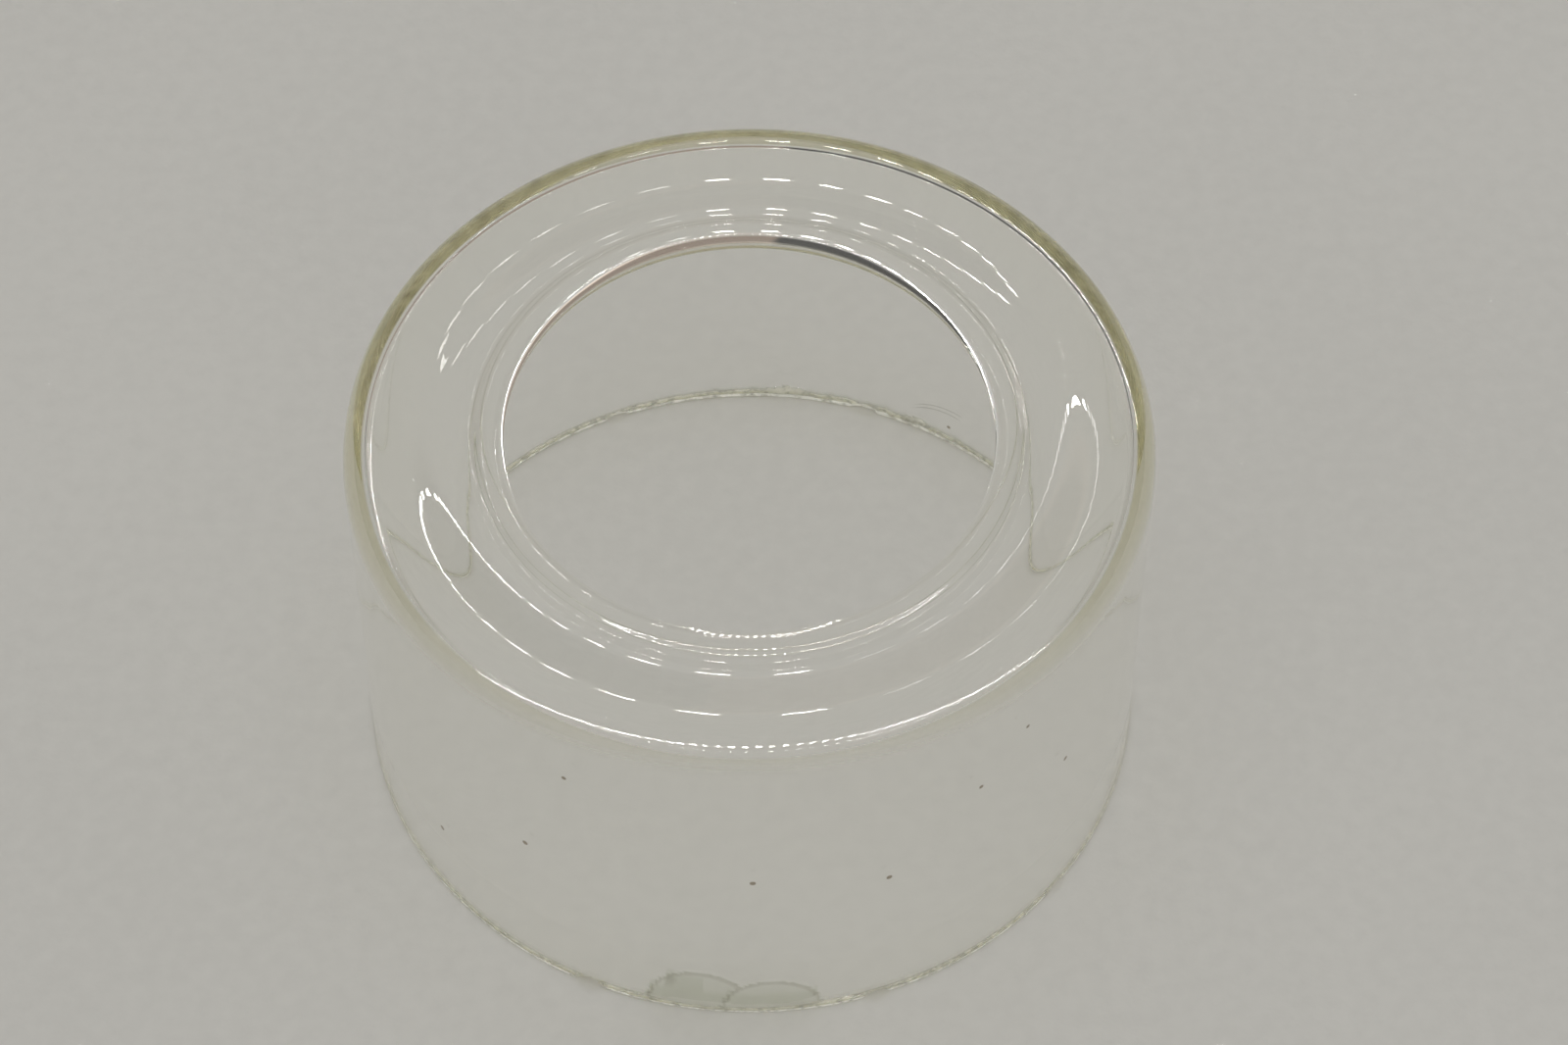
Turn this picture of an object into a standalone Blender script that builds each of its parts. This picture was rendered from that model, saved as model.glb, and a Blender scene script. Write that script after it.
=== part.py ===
"""Crystallizing dish, stood mouth down: one piece of clear glass, open at both ends.

A straight round wall stands on its cut rim and turns through a rounded heel into a ring. The ring
dips, then swells into a fire-polished bead round a wide central opening. The cut rim is chipped.
Metres, +Z up. The origin is on the axis, in the plane of the cut rim.
"""

import math

import bpy
from mathutils import Matrix, Vector

# Driving dimensions of the 95 mm dish
OUTER_RADIUS = 0.0475
HEIGHT = 0.0545
WALL = 0.0013
HEEL_RADIUS = 0.0050

# The heel is heavy: the wall thickens upwards to it, and its inner corner is tight
HEEL_WALL = 0.0031
HEEL_GLASS = 0.0034
INNER_TURN = 0.0009
TAPER_START = 0.0100

# The ring inside the heel: it falls to a shallow trough and rises again to the bead
RING_THICKNESS = 0.0017
TROUGH_RADIUS = 0.0340
TROUGH_DROP = 0.0024

# The fire-polished bead round the opening
OPENING_RADIUS = 0.0287
BEAD_RADIUS = 0.0019
BEAD_DROP = 0.0013
FLANK_DEG = 45

# How finely the section is drawn and turned
TURN_STEPS = 96
WALL_STEPS = 2
HEEL_STEPS = 7
SWEEP_STEPS = 4
FLANK_STEPS = 3
BEAD_STEPS = 6
CORNER_STEPS = 3

# Chips along the cut rim: name, azimuth in degrees, the face of the wall the flake left,
# and its width, height up the wall and depth into the wall
CHIPS = (
    ("front_flake_high", -98.0, "inner", 0.0132, 0.0078, 0.00085),
    ("front_flake_low", -87.5, "inner", 0.0126, 0.0062, 0.00075),
    ("left_nick", -114.5, "outer", 0.0034, 0.0011, 0.00085),
    ("right_nick", -72.0, "outer", 0.0030, 0.0010, 0.00080),
    ("side_nick", -39.0, "outer", 0.0018, 0.0007, 0.00060),
    ("far_nick", 84.0, "outer", 0.0060, 0.0016, 0.00075),
    ("far_side_nick", 62.0, "outer", 0.0042, 0.0012, 0.00070),
)
CHIP_SEGMENTS = 24
CHIP_RINGS = 10

GLASS_COLOUR = (0.93, 0.95, 0.90, 1.0)
GLASS_ROUGHNESS = 0.02
GLASS_IOR = 1.50
SMOOTH_DEG = 35.0


def clear_scene():
    for existing in list(bpy.data.objects):
        bpy.data.objects.remove(existing, do_unlink=True)


def glass_material():
    material = bpy.data.materials.new("clear_glass")
    material.use_nodes = True
    shader = material.node_tree.nodes["Principled BSDF"]
    shader.inputs["Base Color"].default_value = GLASS_COLOUR
    shader.inputs["Roughness"].default_value = GLASS_ROUGHNESS
    shader.inputs["IOR"].default_value = GLASS_IOR
    shader.inputs["Transmission Weight"].default_value = 1.0
    return material


def line(start, end, steps):
    """Points from start towards end, without the last one."""
    return [Vector(start).lerp(Vector(end), i / steps) for i in range(steps)]


def arc(centre, radius, first_deg, last_deg, steps):
    """Points of an arc in the section plane, without the last one."""
    points = []
    for i in range(steps):
        angle = math.radians(first_deg + (last_deg - first_deg) * i / steps)
        points.append(Vector((centre[0] + radius * math.cos(angle), centre[1] + radius * math.sin(angle))))
    return points


def level_sweep(start, end, steps):
    """Points of a smooth step between two heights, level at both ends, without the last one."""
    points = []
    for i in range(steps):
        share = i / steps
        rise = share * share * (3 - 2 * share)
        points.append(Vector((start[0] + (end[0] - start[0]) * share, start[1] + (end[1] - start[1]) * rise)))
    return points


def flank(start, end, slope_deg, steps):
    """Points from the trough up the bead's outer flank, which is level first and steep at its end."""
    run, climb = start[0] - end[0], end[1] - start[1]
    power = math.tan(math.radians(slope_deg)) * run / climb
    points = []
    for i in range(steps):
        share = math.sqrt(i / steps)
        points.append(Vector((start[0] - run * share, start[1] + climb * share**power)))
    return points


def dish_section():
    """The closed outline of the glass, radius against height: up the outer face and down the inner."""
    heel = (OUTER_RADIUS - HEEL_RADIUS, HEIGHT - HEEL_RADIUS)
    trough = (TROUGH_RADIUS, HEIGHT - TROUGH_DROP)
    bead = (OPENING_RADIUS + BEAD_RADIUS, HEIGHT - BEAD_DROP - BEAD_RADIUS)
    shoulder = arc(bead, BEAD_RADIUS, FLANK_DEG, 90, 1)[0]
    inner_wall = OUTER_RADIUS - WALL
    inner_trough = (TROUGH_RADIUS, trough[1] - RING_THICKNESS)
    corner = (OUTER_RADIUS - HEEL_WALL - INNER_TURN, HEIGHT - HEEL_GLASS - INNER_TURN)
    lip = bead[1] - inner_trough[1]

    outline = line((OUTER_RADIUS, 0), (OUTER_RADIUS, heel[1]), WALL_STEPS)
    outline += arc(heel, HEEL_RADIUS, 0, 90, HEEL_STEPS)
    outline += level_sweep((heel[0], HEIGHT), trough, SWEEP_STEPS)
    outline += flank(trough, shoulder, 90 - FLANK_DEG, FLANK_STEPS)
    outline += arc(bead, BEAD_RADIUS, FLANK_DEG, 180, BEAD_STEPS)
    outline += arc((OPENING_RADIUS + lip, bead[1]), lip, 180, 270, CORNER_STEPS)
    outline += line((OPENING_RADIUS + lip, inner_trough[1]), inner_trough, 1)
    outline += level_sweep(inner_trough, (corner[0], corner[1] + INNER_TURN), SWEEP_STEPS)
    outline += arc(corner, INNER_TURN, 90, 0, CORNER_STEPS)
    outline += line((corner[0] + INNER_TURN, corner[1]), (inner_wall, TAPER_START), 1)
    outline += line((inner_wall, TAPER_START), (inner_wall, 0), 1)
    outline.append(Vector((inner_wall, 0)))
    return outline


def turned_mesh(name, outline, steps):
    """The outline turned once round Z, closed on itself."""
    vertices = []
    for turn in range(steps):
        angle = 2 * math.pi * turn / steps
        vertices += [(p.x * math.cos(angle), p.x * math.sin(angle), p.y) for p in outline]
    count = len(outline)
    faces = []
    for turn in range(steps):
        here = turn * count
        there = (turn + 1) % steps * count
        for i in range(count):
            after = (i + 1) % count
            faces.append((here + i, there + i, there + after, here + after))
    mesh = bpy.data.meshes.new(name)
    mesh.from_pydata(vertices, [], faces)
    mesh.shade_smooth()
    mesh.set_sharp_from_angle(angle=math.radians(SMOOTH_DEG))
    return mesh


def chip_cutter(name, azimuth_deg, face, width, height, depth):
    """A lens-shaped cutter that takes a shell-shaped flake off one face of the wall at the rim."""
    bpy.ops.mesh.primitive_uv_sphere_add(segments=CHIP_SEGMENTS, ring_count=CHIP_RINGS, radius=1.0)
    cutter = bpy.context.object
    cutter.name = name + "_cutter"
    cutter.hide_render = True
    cutter.display_type = "WIRE"
    radius = OUTER_RADIUS if face == "outer" else OUTER_RADIUS - WALL
    cutter.data.transform(Matrix.Diagonal((depth, width / 2, height, 1.0)))
    # the lens follows the wall's curve, so that its ends stay on the face
    for vertex in cutter.data.vertices:
        turn = vertex.co.y / radius
        reach = radius + vertex.co.x
        vertex.co.x = reach * math.cos(turn)
        vertex.co.y = reach * math.sin(turn)
    cutter.data.transform(Matrix.Rotation(math.radians(azimuth_deg), 4, "Z"))
    return cutter


def build_dish():
    """The glass body, with each chip cut from its rim."""
    mesh = turned_mesh("glass_body", dish_section(), TURN_STEPS)
    dish = bpy.data.objects.new("glass_body", mesh)
    bpy.context.scene.collection.objects.link(dish)
    mesh.materials.append(glass_material())
    for chip in CHIPS:
        cut = dish.modifiers.new(chip[0], "BOOLEAN")
        cut.operation = "DIFFERENCE"
        cut.solver = "EXACT"
        cut.object = chip_cutter(*chip)
    return dish


clear_scene()
build_dish()
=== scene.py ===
"""Crystallizing dish: the fine glass body, its materials, a pale studio stage and the camera.

The body is a turned shape, so a Geometry Nodes tree turns its section round the axis and gives
the surface the slight waviness of blown glass. The fracture of the cut rim is then worked into
the mesh, and its marks tell the glass material where the glass is broken.
"""

import math

import bmesh
import bpy
import numpy as np
from mathutils import Matrix, Vector, noise


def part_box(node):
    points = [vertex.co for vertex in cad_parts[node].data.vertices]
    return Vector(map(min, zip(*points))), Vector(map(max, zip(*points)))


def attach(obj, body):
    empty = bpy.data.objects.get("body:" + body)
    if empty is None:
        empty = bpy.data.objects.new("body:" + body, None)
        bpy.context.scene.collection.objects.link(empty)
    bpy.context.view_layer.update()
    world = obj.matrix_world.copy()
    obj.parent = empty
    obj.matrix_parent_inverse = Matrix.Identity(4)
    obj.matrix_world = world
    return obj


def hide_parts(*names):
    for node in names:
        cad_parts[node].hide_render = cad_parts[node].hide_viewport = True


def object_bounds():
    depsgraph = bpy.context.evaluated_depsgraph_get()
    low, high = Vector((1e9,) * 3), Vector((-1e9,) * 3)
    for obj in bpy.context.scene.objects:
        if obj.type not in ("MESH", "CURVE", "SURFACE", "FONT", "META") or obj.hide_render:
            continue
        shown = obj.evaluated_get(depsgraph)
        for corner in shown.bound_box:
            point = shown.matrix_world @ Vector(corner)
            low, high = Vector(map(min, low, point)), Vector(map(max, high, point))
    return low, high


bl_info = {
    "name": "Crystallizing Dish",
    "version": (1, 0, 0),
    "blender": (4, 5, 0),
    "location": "3D View > Sidebar > Glassware",
    "description": "Builds a clear glass crystallizing dish with a beaded opening and a cut rim",
    "category": "Object",
}

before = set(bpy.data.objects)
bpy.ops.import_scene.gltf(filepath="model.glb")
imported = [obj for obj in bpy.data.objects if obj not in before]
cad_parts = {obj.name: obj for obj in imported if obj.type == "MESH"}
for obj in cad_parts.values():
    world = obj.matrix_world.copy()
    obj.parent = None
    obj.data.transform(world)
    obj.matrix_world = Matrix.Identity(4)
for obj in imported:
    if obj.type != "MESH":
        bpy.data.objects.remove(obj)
FRAME_LOW, FRAME_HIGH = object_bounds()
BODY_LOW, BODY_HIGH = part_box("glass_body")

MM = 0.001
TURN = 2 * math.pi


# Node trees written as expressions

# The Mix node's colour sockets, which share their names with its other kinds
COLOUR_A, COLOUR_B, COLOUR_RESULT = 6, 7, 2


class Wire:
    """An output socket whose sums are written as Python expressions."""

    def __init__(self, graph, socket):
        self.graph = graph
        self.socket = socket

    def __add__(self, other):
        return self.graph.maths("ADD", self, other)

    def __radd__(self, other):
        return self.graph.maths("ADD", other, self)

    def __sub__(self, other):
        return self.graph.maths("SUBTRACT", self, other)

    def __rsub__(self, other):
        return self.graph.maths("SUBTRACT", other, self)

    def __mul__(self, other):
        return self.graph.maths("MULTIPLY", self, other)

    def __rmul__(self, other):
        return self.graph.maths("MULTIPLY", other, self)

    def __truediv__(self, other):
        return self.graph.maths("DIVIDE", self, other)

    def __gt__(self, other):
        return self.graph.maths("GREATER_THAN", self, other)

    def __lt__(self, other):
        return self.graph.maths("LESS_THAN", self, other)


class Graph:
    """Adds nodes to one tree and links them."""

    def __init__(self, tree):
        self.tree = tree
        tree.nodes.clear()

    def node(self, kind, values=None, out=0, **settings):
        """Adds a node: its settings first, then the values or wires of its sockets."""
        made = self.tree.nodes.new(kind)
        for name, value in settings.items():
            setattr(made, name, value)
        for name, value in (values or {}).items():
            self.feed(made.inputs[name], value)
        return Wire(self, made.outputs[out]) if len(made.outputs) else None

    def feed(self, socket, value):
        if isinstance(value, Wire):
            self.tree.links.new(value.socket, socket)
        else:
            socket.default_value = value

    def maths(self, operation, *values):
        return self.node("ShaderNodeMath", dict(enumerate(values)), operation=operation)

    def ease(self, value, low, high):
        """A smooth step from 0 at low to 1 at high; low may lie above high."""
        flip = low > high
        ends = (high, low) if flip else (low, high)
        goal = (1.0, 0.0) if flip else (0.0, 1.0)
        return self.node(
            "ShaderNodeMapRange",
            {"Value": value, "From Min": ends[0], "From Max": ends[1],
             "To Min": goal[0], "To Max": goal[1]},
            interpolation_type="SMOOTHSTEP",
        )

    def mix(self, factor, low, high):
        """A colour from low, where the factor is 0, to high; plain colours have three parts."""
        low, high = (c if isinstance(c, Wire) else (*c, 1.0) for c in (low, high))
        sockets = {"Factor": factor, COLOUR_A: low, COLOUR_B: high}
        return self.node("ShaderNodeMix", sockets, out=COLOUR_RESULT, data_type="RGBA")

    def other(self, wire, name):
        """Another output of the node that a wire comes from."""
        return Wire(self, wire.socket.node.outputs[name])


def new_material(name):
    material = bpy.data.materials.new(name)
    material.use_nodes = True
    return material, Graph(material.node_tree)


# Sizes and colours a user would change


def length(name, description, default):
    return bpy.props.FloatProperty(
        name=name, description=description, subtype="DISTANCE", unit="LENGTH", default=default,
    )


def colour(name, description, default):
    return bpy.props.FloatVectorProperty(
        name=name, description=description, subtype="COLOR", size=3, min=0, max=1, default=default,
    )


def number(name, description, default):
    return bpy.props.FloatProperty(name=name, description=description, default=default)


class DishSizes(bpy.types.PropertyGroup):
    radius: length("Outer radius", "Radius of the outer wall", BODY_HIGH.x)
    height: length("Height", "From the cut rim to the top of the heel", BODY_HIGH.z)
    wall: length("Wall", "Thickness of the straight wall", 1.3 * MM)
    heel: length("Heel radius", "Outer radius of the rounded heel", 5.0 * MM)
    heel_glass: length("Heel thickness", "Thickness of the heavy glass in the heel", 3.4 * MM)
    heel_wall: length("Wall at the heel", "Thickness of the wall below the heel", 3.1 * MM)
    inner_turn: length("Inner turn", "Radius of the inner corner under the heel", 0.9 * MM)
    taper_start: length("Taper start", "Height where the wall begins to thicken", 10.0 * MM)
    ring: length("Ring thickness", "Thickness of the ring at its trough", 1.7 * MM)
    trough_radius: length("Trough radius", "Where the ring is lowest", 34.0 * MM)
    trough_drop: length("Trough drop", "How far the trough lies below the heel's top", 2.4 * MM)
    opening: length("Opening radius", "Radius of the open centre", 28.7 * MM)
    bead: length("Bead radius", "Half the thickness of the fire-polished bead", 1.9 * MM)
    bead_drop: length("Bead drop", "How far the bead's top lies below the heel's top", 1.3 * MM)
    turn_steps: bpy.props.IntProperty(
        name="Turn steps", description="How many facets the body has round its axis", default=576,
        min=48,
    )
    waviness: length("Waviness", "How far the blown surface wanders", 0.03 * MM)


class RimFracture(bpy.types.PropertyGroup):
    ragged: length("Raggedness", "How far the cut edge wanders up the wall", 0.22 * MM)
    hackle: length("Hackle", "Depth of the fine ridges on the broken faces", 0.10 * MM)
    seed: bpy.props.IntProperty(name="Seed", description="Changes the fracture", default=7)


class GlassLook(bpy.types.PropertyGroup):
    tint: colour("Tint in the thick", "Colour of a long way through the glass", (0.71, 0.66, 0.25))
    density: number("Tint density", "How quickly the tint builds up, per metre", 10.0)
    ior: number("IOR", "Refractive index of the glass", 1.49)
    # The broken faces' colour, which they also give off as a faint painted glow
    fracture_white_and_glow: colour("Fracture white", "Colour of the broken faces", (0.95, 0.95, 0.91))


class StudioStage(bpy.types.PropertyGroup):
    floor: colour("Floor", "Colour of the pale floor", (0.74, 0.73, 0.70))
    sky: number("Soft light", "Strength of the even light", 0.60)
    room: number("Room", "How bright the room behind the dish is beside the soft light", 0.10)
    lamps: number("Strip lamps", "Brightness of the small lamps on the strips", 60.0)
    lens: bpy.props.FloatProperty(
        name="Lens", description="Focal length of the camera", subtype="DISTANCE_CAMERA",
        default=105.3,
    )


# The glass body


def straight(start, end, steps):
    """Points of a straight run, without its last one."""
    start, end = Vector(start), Vector(end)
    return [start.lerp(end, i / steps) for i in range(steps)]


def arc(centre, radius, first_deg, last_deg, steps):
    """Points of a round run, without its last one."""
    points = []
    for i in range(steps):
        angle = math.radians(first_deg + (last_deg - first_deg) * i / steps)
        across, up = radius * math.cos(angle), radius * math.sin(angle)
        points.append(Vector((centre[0] + across, centre[1] + up)))
    return points


def sweep(start, end, steps):
    """A smooth step between two heights, level at both ends, without its last point."""
    across, up = end[0] - start[0], end[1] - start[1]
    points = []
    for i in range(steps):
        share = i / steps
        rise = share * share * (3 - 2 * share)
        points.append(Vector((start[0] + across * share, start[1] + up * rise)))
    return points


def fillet(start, end, slope_deg, steps):
    """A run that leaves its start downhill at the given slope and levels out at its end."""
    across, drop = end[0] - start[0], start[1] - end[1]
    power = math.tan(math.radians(slope_deg)) * abs(across) / drop
    return [
        Vector((start[0] + across * share, end[1] + drop * (1 - share) ** power))
        for share in (i / steps for i in range(steps + 1))
    ]


# Where on the bead's outline its outer flank begins
FLANK_DEG = 45
# The points are set closely up to these heights, outside and inside the wall
RIM_ZONE = 3 * MM
SCAR_ZONE = 9 * MM


def body_section(size):
    """The closed outline of the glass, as radius and height: up outside and down inside.

    The last argument of each run is its number of facets.
    """
    heel = (size.radius - size.heel, size.height - size.heel)
    trough = (size.trough_radius, size.height - size.trough_drop)
    bead = (size.opening + size.bead, size.height - size.bead_drop - size.bead)
    inner_wall = size.radius - size.wall
    corner = (size.radius - size.heel_wall - size.inner_turn,
              size.height - size.heel_glass - size.inner_turn)
    inner_trough = (trough[0], trough[1] - size.ring)

    outline = straight((size.radius, 0), (size.radius, RIM_ZONE), 9)
    outline += straight((size.radius, RIM_ZONE), (size.radius, heel[1]), 14)
    outline += arc(heel, size.heel, 0, 90, 14)
    outline += sweep((heel[0], size.height), trough, 16)
    shoulder = arc(bead, size.bead, FLANK_DEG, 90, 1)[0]
    outline += fillet(shoulder, trough, 90 - FLANK_DEG, 12)[:0:-1]
    outline += arc(bead, size.bead, FLANK_DEG, 180, 24)
    lip = bead[1] - inner_trough[1]
    outline += arc((size.opening + lip, bead[1]), lip, 180, 270, 8)
    outline += straight((size.opening + lip, inner_trough[1]), inner_trough, 4)
    outline += sweep(inner_trough, (corner[0], corner[1] + size.inner_turn), 8)
    outline += arc(corner, size.inner_turn, 90, 0, 12)
    taper = (inner_wall, size.taper_start)
    outline += straight((corner[0] + size.inner_turn, corner[1]), taper, 12)
    outline += straight(taper, (inner_wall, SCAR_ZONE), 6)
    outline += straight((inner_wall, SCAR_ZONE), (inner_wall, 0), 24)
    outline += straight((inner_wall, 0), (size.radius, 0), 5)
    return outline


def section_object(name, outline):
    mesh = bpy.data.meshes.new(name)
    mesh.from_pydata([(p.x, 0, p.y) for p in outline], [], [])
    made = bpy.data.objects.new(name, mesh)
    bpy.context.scene.collection.objects.link(made)
    return made


# How quickly the blown surface's waves follow each other round the wall and up it
WAVES_ROUND = 1.6
WAVES_UP = 38.0
# The waves grow from nothing at the foot to their full depth at this height
STEADY_FOOT = 4 * MM
# Points closer than this are one point, which closes the seams of the wrapped grid
SEAM = 0.001 * MM


def turning_tree(count):
    """Geometry Nodes: wraps a grid round the axis so that its rows follow the section's points."""
    tree = bpy.data.node_groups.new("Turned Glass", "GeometryNodeTree")
    graph = Graph(tree)
    face = tree.interface
    face.new_socket(name="Section", in_out="INPUT", socket_type="NodeSocketGeometry")
    for name, kind in (("Turn Steps", "NodeSocketInt"), ("Waviness", "NodeSocketFloat"),
                       ("Wave Seed", "NodeSocketFloat"), ("Glass", "NodeSocketMaterial")):
        face.new_socket(name=name, in_out="INPUT", socket_type=kind)
    face.new_socket(name="Body", in_out="OUTPUT", socket_type="NodeSocketGeometry")

    section = graph.node("NodeGroupInput", out="Section")
    turns = graph.other(section, "Turn Steps")
    waviness = graph.other(section, "Waviness")
    seed = graph.other(section, "Wave Seed")
    sheet = graph.node(
        "GeometryNodeMeshGrid",
        {"Size X": 1.0, "Size Y": 1.0, "Vertices X": count + 1, "Vertices Y": turns + 1},
    )
    place = graph.node("GeometryNodeInputPosition")
    flat = graph.node("ShaderNodeSeparateXYZ", {"Vector": place})
    along = graph.maths("ROUND", (flat + 0.5) * count)
    row = graph.maths("FLOORED_MODULO", along, count)
    angle = (graph.other(flat, "Y") + 0.5) * TURN
    point = graph.node(
        "GeometryNodeSampleIndex", {"Geometry": section, "Value": place, "Index": row},
        data_type="FLOAT_VECTOR",
    )
    radius = graph.node("ShaderNodeSeparateXYZ", {"Vector": point})
    height = graph.other(radius, "Z")
    across = graph.maths("COSINE", angle)
    back = graph.maths("SINE", angle)

    # The surface wanders slowly round the wall and faster up it, as gathered glass does
    spot = graph.node(
        "ShaderNodeCombineXYZ",
        {"X": across * WAVES_ROUND, "Y": back * WAVES_ROUND, "Z": height * WAVES_UP},
    )
    wander = graph.node(
        "ShaderNodeTexNoise", {"Vector": spot, "W": seed, "Scale": 1.0, "Detail": 1.5},
        noise_dimensions="4D",
    )
    blown = radius + (wander - 0.5) * 2.0 * waviness * graph.ease(height, 0.0, STEADY_FOOT)
    turned = graph.node(
        "ShaderNodeCombineXYZ", {"X": blown * across, "Y": blown * back, "Z": height},
    )
    wrapped = graph.node("GeometryNodeSetPosition", {"Geometry": sheet, "Position": turned})
    closed = graph.node("GeometryNodeMergeByDistance", {"Geometry": wrapped, "Distance": SEAM})
    smooth = graph.node("GeometryNodeSetShadeSmooth", {"Geometry": closed, "Shade Smooth": True})
    real = graph.node("GeometryNodeRealizeInstances", {"Geometry": smooth})
    glazed = graph.node(
        "GeometryNodeSetMaterial", {"Geometry": real, "Material": graph.other(section, "Glass")},
    )
    graph.node("NodeGroupOutput", {"Body": glazed})
    return tree


def grow(seed_object, tree, values, name):
    """Runs a tree on an object and keeps the result as a plain mesh."""
    modifier = seed_object.modifiers.new("Grow", "NODES")
    modifier.node_group = tree
    items = [item for item in tree.interface.items_tree if item.item_type == "SOCKET"]
    sockets = {item.name: item.identifier for item in items}
    for label, value in values.items():
        modifier[sockets[label]] = value
    depsgraph = bpy.context.evaluated_depsgraph_get()
    grown = seed_object.evaluated_get(depsgraph)
    mesh = bpy.data.meshes.new_from_object(grown, depsgraph=depsgraph)
    mesh.name = name
    bpy.data.objects.remove(seed_object, do_unlink=True)
    made = bpy.data.objects.new(name, mesh)
    bpy.context.scene.collection.objects.link(made)
    return made


def outward(mesh):
    """Turns the faces of a closed mesh outwards."""
    work = bmesh.new()
    work.from_mesh(mesh)
    bmesh.ops.recalc_face_normals(work, faces=work.faces)
    work.to_mesh(mesh)
    work.free()


# Flakes off the cut rim: azimuth in degrees, the face they left, width, height and depth in mm
FLAKES = (
    (-98.0, "inner", 13.2, 7.8, 0.62),
    (-87.5, "inner", 12.6, 6.2, 0.55),
    (-114.5, "outer", 3.4, 1.1, 0.80),
    (-72.0, "outer", 3.0, 1.0, 0.80),
    (-39.0, "outer", 1.8, 0.8, 0.60),
    (84.0, "outer", 6.0, 1.7, 0.70),
    (62.0, "outer", 4.2, 1.4, 0.70),
    (71.0, "inner", 3.6, 1.2, 0.50),
    (112.0, "inner", 3.0, 0.9, 0.50),
)
# Flakes taller than this, in mm, left smooth scars
TALL_FLAKE = 3
# Glass that a flake leaves standing, at the least
LEFT_STANDING = 0.30 * MM
# Marks: 0 is clear glass and 1 the rough break; a smooth scar has this mark, and its edge adds
# this, which the glass turns into a painted dark line of shade
SCAR_MARK = 0.38
SCAR_EDGE = 0.34
# The break is rougher round this azimuth in degrees, over this spread
ROUGH_MIDDLE = 72
ROUGH_SPREAD = 34
# Height of the break in mm, and what it gains where it is rough and where it is ragged as well
BREAK_TALL = 0.80
BREAK_ROUGH = 0.35
BREAK_RAGGED = 0.5
# Points lower than this lie on the cut face itself
CUT_FACE = 1e-6
# How fast the edge wanders round the rim: slowly, quickly and in ridges
WANDER_SLOW, WANDER_QUICK, WANDER_RIDGE = 9, 42, 150


def fracture_rim(mesh, size, rim):
    """Works the broken edge into the mesh, and marks broken faces in the attribute 'fracture'."""
    count = len(mesh.vertices)
    places = np.empty(count * 3, np.float32)
    mesh.vertices.foreach_get("co", places)
    places = places.reshape(-1, 3).astype(float)
    radius = np.hypot(places[:, 0], places[:, 1])
    angle = np.arctan2(places[:, 1], places[:, 0])
    height = places[:, 2].copy()
    inner_wall = size.radius - size.wall
    through = np.clip((radius - inner_wall) / size.wall, 0, 1)
    foot = height < CUT_FACE
    rough = np.exp(-((np.degrees(angle) - ROUGH_MIDDLE) / ROUGH_SPREAD) ** 2)
    ragged = 0.5 + 0.5 * np.sin(angle * 31) * np.sin(angle * 83 + 1.0)
    reach_up = (BREAK_TALL + rough * (BREAK_ROUGH + BREAK_RAGGED * ragged)) * MM
    broken = np.clip(1.4 - 1.2 * height / reach_up, 0, 1)

    # Flakes: each scoops a bowl into its face, and the cut face is squeezed to fit beside it
    cut_radius = radius.copy()
    for azimuth, face, width, tall, deep in FLAKES:
        turn = np.angle(np.exp(1j * (angle - math.radians(azimuth)))) * size.radius
        reach = (turn / (width * MM / 2)) ** 2 + (height / (tall * MM)) ** 2
        scoop = np.sqrt(np.clip(1 - reach, 0, 1)) * deep * MM
        near = (height < tall * MM + 0.5 * MM) & (scoop > 0)
        if face == "inner":
            limit = np.minimum(inner_wall + scoop, size.radius - LEFT_STANDING)
            hit = near & (through < 0.999) & (radius > inner_wall - 0.2 * MM)
            moved = np.maximum(cut_radius, np.where(through < 0.02, limit, cut_radius))
            squeezed = limit + (size.radius - limit) * through
            fitted = np.maximum(moved, np.where(foot, squeezed, moved))
        else:
            limit = size.radius - scoop
            hit = near & (through > 0.001)
            moved = np.minimum(cut_radius, np.where(through > 0.98, limit, cut_radius))
            squeezed = inner_wall + (limit - inner_wall) * through
            fitted = np.minimum(moved, np.where(foot, squeezed, moved))
        cut_radius = np.where(hit, fitted, cut_radius)
        if tall > TALL_FLAKE:
            # A scar's edge gets a higher mark, where the glass paints a dark line of shade
            scar_and_shaded_edge = SCAR_MARK + SCAR_EDGE * np.clip((reach - 0.74) / 0.14, 0, 1)
            broken = np.where(hit & (height > 0.5 * MM), scar_and_shaded_edge, broken)
        else:
            broken = np.maximum(broken, np.where(hit & (scoop > 0.02 * MM), 1.0, 0))

    # The edge itself wanders up and down, and its cut face carries fine ridges
    lift = np.zeros(count)
    for i in np.nonzero(height < RIM_ZONE)[0]:
        fade = (1 - height[i] / RIM_ZONE) ** 2
        spot = Vector((math.cos(angle[i]), math.sin(angle[i]), 0.13 * rim.seed))
        slow = noise.noise(spot * WANDER_SLOW) * 0.5 + 0.5
        quick = noise.noise(spot * WANDER_QUICK + Vector((0, 0, through[i] * 0.6))) * 0.5 + 0.5
        ridge = noise.noise(spot * WANDER_RIDGE + Vector((0, 0, through[i] * 2.0)))
        wander = rim.ragged * (0.5 * slow + 0.5 * quick)
        lift[i] = fade * (wander + rim.hackle * 0.5 * ridge * foot[i])
    places[:, 0] = cut_radius * np.cos(angle)
    places[:, 1] = cut_radius * np.sin(angle)
    places[:, 2] = np.maximum(height + lift, 0)
    mesh.vertices.foreach_set("co", places.astype(np.float32).ravel())
    marks = mesh.attributes.new("fracture", "FLOAT", "POINT")
    marks.data.foreach_set("value", broken.astype(np.float32))
    mesh.update()


# The hairline crack: an arc on the unrolled wall, measured round from the X axis and up
CRACK_WALL = 47.0 * MM
CRACK_CENTRE = (45.4 * MM, -4.0 * MM)
CRACK_RADIUS = 9.9 * MM
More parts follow.
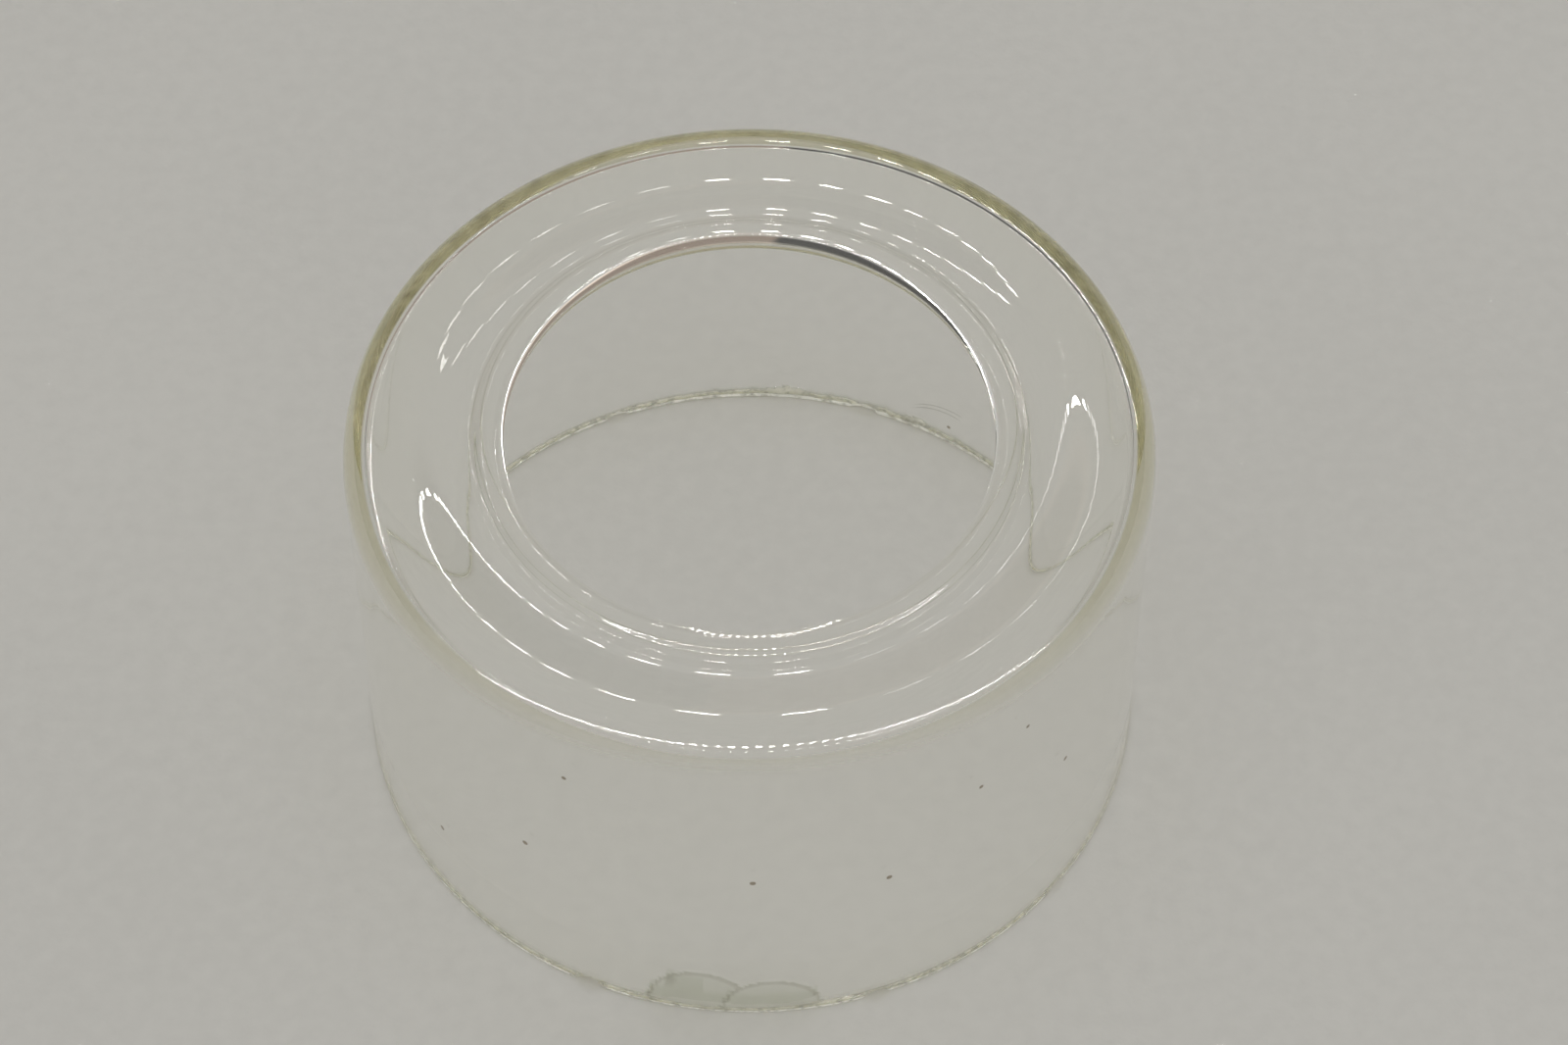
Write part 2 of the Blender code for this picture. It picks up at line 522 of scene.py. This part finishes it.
# Where along the arc it fades in and out, and its half width, each as a soft edge
CRACK_START = (-1.6 * MM, -0.4 * MM)
CRACK_END = (6.4 * MM, 4.4 * MM)
CRACK_WIDTH = (0.16 * MM, 0.05 * MM)
# Colours that light takes where it crosses the surface
CLEAR_TINTS = (0.992, 0.994, 0.985), (1.0, 1.0, 0.995)
SCAR_TINT = (0.84, 0.86, 0.80)
# Painted shade along a scar's edge, for the dark outline that its sharp edge shows
SCAR_EDGE_SHADE = (0.58, 0.58, 0.51)
CRACK_TINT = (0.66, 0.66, 0.62)
DIRT_TINT = (0.20, 0.15, 0.10)


def glass_material(look):
    """Clear glass, olive in the thick, with smooth scars edged in painted shade, and a frosted
    break at the cut rim that glows faintly as painted light.
    """
    material, graph = new_material("dish_glass")
    coords = graph.node("ShaderNodeTexCoord", out="Object")
    mark = graph.node("ShaderNodeAttribute", out="Fac", attribute_name="fracture")

    # Faint wiping marks, and a few specks of dirt
    smears = graph.node("ShaderNodeTexNoise", {"Vector": coords, "Scale": 55.0, "Detail": 4.0})
    cells = graph.node("ShaderNodeTexVoronoi", {"Vector": coords, "Scale": 190.0})
    pick = graph.node("ShaderNodeSeparateColor", {"Color": graph.other(cells, "Color")})
    speck = (cells < 0.07) * (pick > 0.965)
    tone = graph.node("ShaderNodeTexNoise", {"Vector": coords, "Scale": 21.0, "Detail": 2.0})
    tint = graph.mix(tone, *CLEAR_TINTS)
    # Smooth scars take a little of the light; the darker colour along their edge is painted shade,
    # standing in for the dark outline that a scar's sharp edge shows
    scar_and_shaded_edge = graph.mix(graph.ease(mark, 0.45, 0.70), SCAR_TINT, SCAR_EDGE_SHADE)
    tint = graph.mix(graph.ease(mark, 0.15, 0.35), tint, scar_and_shaded_edge)
    # A hairline crack curves over the break at the back
    spot = graph.node("ShaderNodeSeparateXYZ", {"Vector": coords})
    along = graph.maths("ARCTAN2", graph.other(spot, "Y"), spot) * CRACK_WALL - CRACK_CENTRE[0]
    above = graph.other(spot, "Z") - CRACK_CENTRE[1]
    away = graph.maths("SQRT", along * along + above * above) - CRACK_RADIUS
    ends = graph.ease(along, *CRACK_START) * graph.ease(along, *CRACK_END) * (above > 0.0)
    crack = graph.ease(graph.maths("ABSOLUTE", away), *CRACK_WIDTH) * ends
    tint = graph.mix(crack, tint, CRACK_TINT)
    tint = graph.mix(speck, tint, DIRT_TINT)
    ripple = graph.node("ShaderNodeTexNoise", {"Vector": coords, "Scale": 120.0, "Detail": 1.0})
    wavy = graph.node("ShaderNodeBump", {"Strength": 0.05, "Distance": 0.0001, "Height": ripple})
    clear = graph.node(
        "ShaderNodeBsdfPrincipled",
        {"Base Color": tint, "Roughness": graph.ease(smears, 0.62, 0.85) * 0.05, "IOR": look.ior,
         "Transmission Weight": 1.0, "Normal": wavy},
    )

    # The broken faces: frosted, with fine hackle; they also glow faintly with their own white, a
    # painted light that brightens the cut rim
    hackle = graph.node("ShaderNodeTexNoise", {"Vector": coords, "Scale": 1900.0, "Detail": 3.0})
    crisp = graph.node("ShaderNodeBump", {"Strength": 0.6, "Distance": 0.0002, "Height": hackle})
    grain = graph.node("ShaderNodeTexNoise", {"Vector": coords, "Scale": 800.0, "Detail": 2.0})
    pale = Vector(look.fracture_white_and_glow)
    frost_white_and_glow = graph.mix(graph.ease(grain, 0.35, 0.65), pale * 0.8, pale)
    frosted_and_glowing = graph.node(
        "ShaderNodeBsdfPrincipled",
        {"Base Color": frost_white_and_glow, "Roughness": 0.25, "IOR": look.ior, "Transmission Weight": 0.25,
         "Emission Color": frost_white_and_glow, "Emission Strength": 0.06, "Normal": crisp},
    )
    # The marks of smooth scars end below those of the break, so they stay almost clear
    share = graph.ease(mark, 0.66, 0.90) * (0.42 + 0.55 * graph.ease(grain, 0.28, 0.60))
    surface = graph.node("ShaderNodeMixShader", {0: share, 1: clear, 2: frosted_and_glowing})
    inside = graph.node(
        "ShaderNodeVolumeAbsorption", {"Color": (*look.tint, 1.0), "Density": look.density},
    )
    graph.node("ShaderNodeOutputMaterial", {"Surface": surface, "Volume": inside})
    return material


# The stage


def floor_material(stage):
    material, graph = new_material("pale_floor")
    coords = graph.node("ShaderNodeTexCoord", out="Object")
    broad = graph.node("ShaderNodeTexNoise", {"Vector": coords, "Scale": 9.0, "Detail": 3.0})
    fine = graph.node("ShaderNodeTexNoise", {"Vector": coords, "Scale": 420.0, "Detail": 4.0})
    pale = Vector(stage.floor)
    mottled = graph.mix(graph.ease(broad * 0.5 + fine * 0.5, 0.3, 0.7), pale * 0.97, pale * 1.03)
    grain = graph.node("ShaderNodeBump", {"Strength": 0.25, "Distance": 0.0003, "Height": fine})
    surface = graph.node(
        "ShaderNodeBsdfPrincipled",
        {"Base Color": mottled, "Roughness": 0.9, "Specular IOR Level": 0.1, "Normal": grain},
    )
    graph.node("ShaderNodeOutputMaterial", {"Surface": surface})
    return material


# Stretches of the two lamp strips, each on a line on the flat ceiling one unit up: how far behind
# the dish the line passes, how it turns away from the X axis, where the stretch starts and ends
# from left to right, its width, and how bright it is beside the others
STRIPS = (
    (-0.72, 0.107, -2.6, 2.2, 0.085, 1.0),
    (1.17, 0.340, -2.2, -0.75, 0.055, 1.0),
    (1.17, 0.340, -0.75, -0.06, 0.055, 0.2),
    (1.17, 0.340, -0.06, 2.6, 0.055, 1.0),
)
LAMP_SPACING = 0.050
LAMP_LENGTH = 0.020
# Directions less steep than this never meet the ceiling
CEILING_RISE = 0.08
# The dim room behind the dish: how far forward and how high it reaches, each as a soft edge
ROOM_FRONT = (-0.17, -0.05)
ROOM_TOP = (0.61, 0.51)
# The paler thing in it: its right and left edges, and its colour beside the dim room's
PALE_RIGHT = (0.050, 0.035)
PALE_LEFT = (-0.80, -0.74)
PALE_COLOUR = (4.6, 3.7, 3.1)
SKY_COLOUR = (1.0, 0.99, 0.96)


def studio_world(stage):
    """Even soft light like a white light box, with two strips of small lamps on its ceiling."""
    world = bpy.data.worlds.new("studio")
    world.use_nodes = True
    graph = Graph(world.node_tree)
    way = graph.node("ShaderNodeTexCoord", out="Generated")
    split = graph.node("ShaderNodeSeparateXYZ", {"Vector": way})
    rise = graph.other(split, "Z")
    above = rise > CEILING_RISE
    tall = graph.maths("MAXIMUM", rise, CEILING_RISE)
    left = split / tall
    back = graph.other(split, "Y") / tall
    lamps = 0.0
    for away, turn, start, end, width, share in STRIPS:
        off = graph.maths("ABSOLUTE", back - away - left * turn)
        beat = graph.maths("ABSOLUTE", graph.maths("FRACT", left / LAMP_SPACING) - 0.5)
        lit = (off < width / 2) * (beat < LAMP_LENGTH / LAMP_SPACING / 2)
        lamps = lamps + lit * (left > start) * (left < end) * share
    # The lamps and the room show in the glass, and leave the floor's light even
    first = graph.node("ShaderNodeLightPath", out="Diffuse Depth") < 0.5
    level = graph.maths("SQRT", 1.0 - rise * rise)
    side, depth = split / level, graph.other(split, "Y") / level
    dim = graph.ease(depth, *ROOM_FRONT) * graph.ease(rise, *ROOM_TOP) * first
    pale = graph.ease(side, *PALE_RIGHT) * graph.ease(side, *PALE_LEFT)
    soft = stage.sky * (1.0 - dim * (1.0 - stage.room))
    light = above * lamps * first * stage.lamps + soft
    shade = graph.mix(dim * pale, SKY_COLOUR, PALE_COLOUR)
    glow = graph.node("ShaderNodeBackground", {"Color": shade, "Strength": light})
    graph.node("ShaderNodeOutputWorld", {"Surface": glow})
    world.cycles.sampling_method = "NONE"
    return world


# How far off the camera stands, in radii of the dish, and how high in degrees; then the small
# turns away from looking at the origin, in degrees
CAMERA_DISTANCE = 12.14
CAMERA_ELEVATION = 55.34
CAMERA_YAW, CAMERA_PITCH, CAMERA_ROLL = -0.423, 2.029, 0.496
# Light runs down inside the wall in dozens of reflections before it leaves at the rim
BOUNCES = 128
FLOOR_HALF = 4.0
FLOOR_GAP = 0.05 * MM
# Edges that turn more than this are sharp
SHARP_DEG = 32


def camera_frame(distance, elevation_deg, yaw_deg, pitch_deg, roll_deg):
    """A camera that looks at the origin from the front, then turned by small angles."""
    tilt = math.radians(elevation_deg)
    place = Vector((0, -distance * math.cos(tilt), distance * math.sin(tilt)))
    ahead = -place.normalized()
    right = ahead.cross(Vector((0, 0, 1))).normalized()
    up = right.cross(ahead)
    yaw = Matrix.Rotation(math.radians(yaw_deg), 3, up)
    ahead, right = yaw @ ahead, yaw @ right
    pitch = Matrix.Rotation(math.radians(pitch_deg), 3, right)
    ahead, up = pitch @ ahead, pitch @ up
    roll = Matrix.Rotation(math.radians(roll_deg), 3, ahead)
    right, up = roll @ right, roll @ up
    turned = Matrix((right, up, -ahead)).transposed().to_4x4()
    return Matrix.Translation(place) @ turned


# Operators


class DISH_OT_glass_body(bpy.types.Operator):
    """Turn the glass body, break its rim and give it its glass"""

    bl_idname = "dish.glass_body"
    bl_label = "Glass Body"

    def execute(self, context):
        size, rim = context.scene.dish_sizes, context.scene.dish_rim
        outline = body_section(size)
        values = {
            "Turn Steps": size.turn_steps, "Waviness": size.waviness, "Wave Seed": float(rim.seed),
            "Glass": glass_material(context.scene.dish_glass),
        }
        section = section_object("section", outline)
        body = grow(section, turning_tree(len(outline)), values, "glass_dish")
        outward(body.data)
        fracture_rim(body.data, size, rim)
        body.data.set_sharp_from_angle(angle=math.radians(SHARP_DEG))
        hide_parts("glass_body")
        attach(body, "root")
        return {"FINISHED"}


class DISH_OT_stage(bpy.types.Operator):
    """Lay the pale floor, and set up the light and the camera"""

    bl_idname = "dish.stage"
    bl_label = "Studio Stage"

    def execute(self, context):
        scene, stage = context.scene, context.scene.dish_stage
        mesh = bpy.data.meshes.new("floor")
        work = bmesh.new()
        bmesh.ops.create_grid(work, x_segments=1, y_segments=1, size=FLOOR_HALF)
        work.to_mesh(mesh)
        work.free()
        floor = bpy.data.objects.new("floor", mesh)
        floor.location.z = FRAME_LOW.z - FLOOR_GAP
        mesh.materials.append(floor_material(stage))
        scene.collection.objects.link(floor)

        scene.world = studio_world(stage)
        data = bpy.data.cameras.new("camera")
        data.sensor_width = 36.0
        data.lens = stage.lens
        data.clip_start = 0.01
        data.clip_end = 20.0
        camera = bpy.data.objects.new("camera", data)
        camera.matrix_world = camera_frame(
            CAMERA_DISTANCE * BODY_HIGH.x, CAMERA_ELEVATION, CAMERA_YAW, CAMERA_PITCH, CAMERA_ROLL,
        )
        scene.collection.objects.link(camera)
        scene.camera = camera

        scene.view_settings.view_transform = "Standard"
        scene.cycles.max_bounces = BOUNCES
        scene.cycles.transmission_bounces = BOUNCES
        scene.cycles.glossy_bounces = BOUNCES
        scene.cycles.sample_clamp_indirect = 0.0
        scene.cycles.blur_glossy = 0.0
        scene.cycles.use_denoising = True
        return {"FINISHED"}


class DISH_PT_panel(bpy.types.Panel):
    """Lists the sizes and the builders"""

    bl_idname = "DISH_PT_panel"
    bl_label = "Crystallizing Dish"
    bl_space_type = "VIEW_3D"
    bl_region_type = "UI"
    bl_category = "Glassware"

    def draw(self, context):
        for group in (context.scene.dish_sizes, context.scene.dish_rim, context.scene.dish_glass,
                      context.scene.dish_stage):
            box = self.layout.box()
            for name in group.bl_rna.properties.keys():
                if name not in {"rna_type", "name"}:
                    box.prop(group, name)
        for builder in OPERATORS:
            self.layout.operator(builder.bl_idname)


GROUPS = {
    "dish_sizes": DishSizes,
    "dish_rim": RimFracture,
    "dish_glass": GlassLook,
    "dish_stage": StudioStage,
}
OPERATORS = (DISH_OT_glass_body, DISH_OT_stage)


def register():
    for name, group in GROUPS.items():
        bpy.utils.register_class(group)
        setattr(bpy.types.Scene, name, bpy.props.PointerProperty(type=group))
    for builder in (*OPERATORS, DISH_PT_panel):
        bpy.utils.register_class(builder)


def unregister():
    for builder in (DISH_PT_panel, *reversed(OPERATORS)):
        bpy.utils.unregister_class(builder)
    for name, group in reversed(GROUPS.items()):
        delattr(bpy.types.Scene, name)
        bpy.utils.unregister_class(group)


def main():
    register()
    bpy.ops.dish.glass_body()
    bpy.ops.dish.stage()


if __name__ == "__main__":
    main()
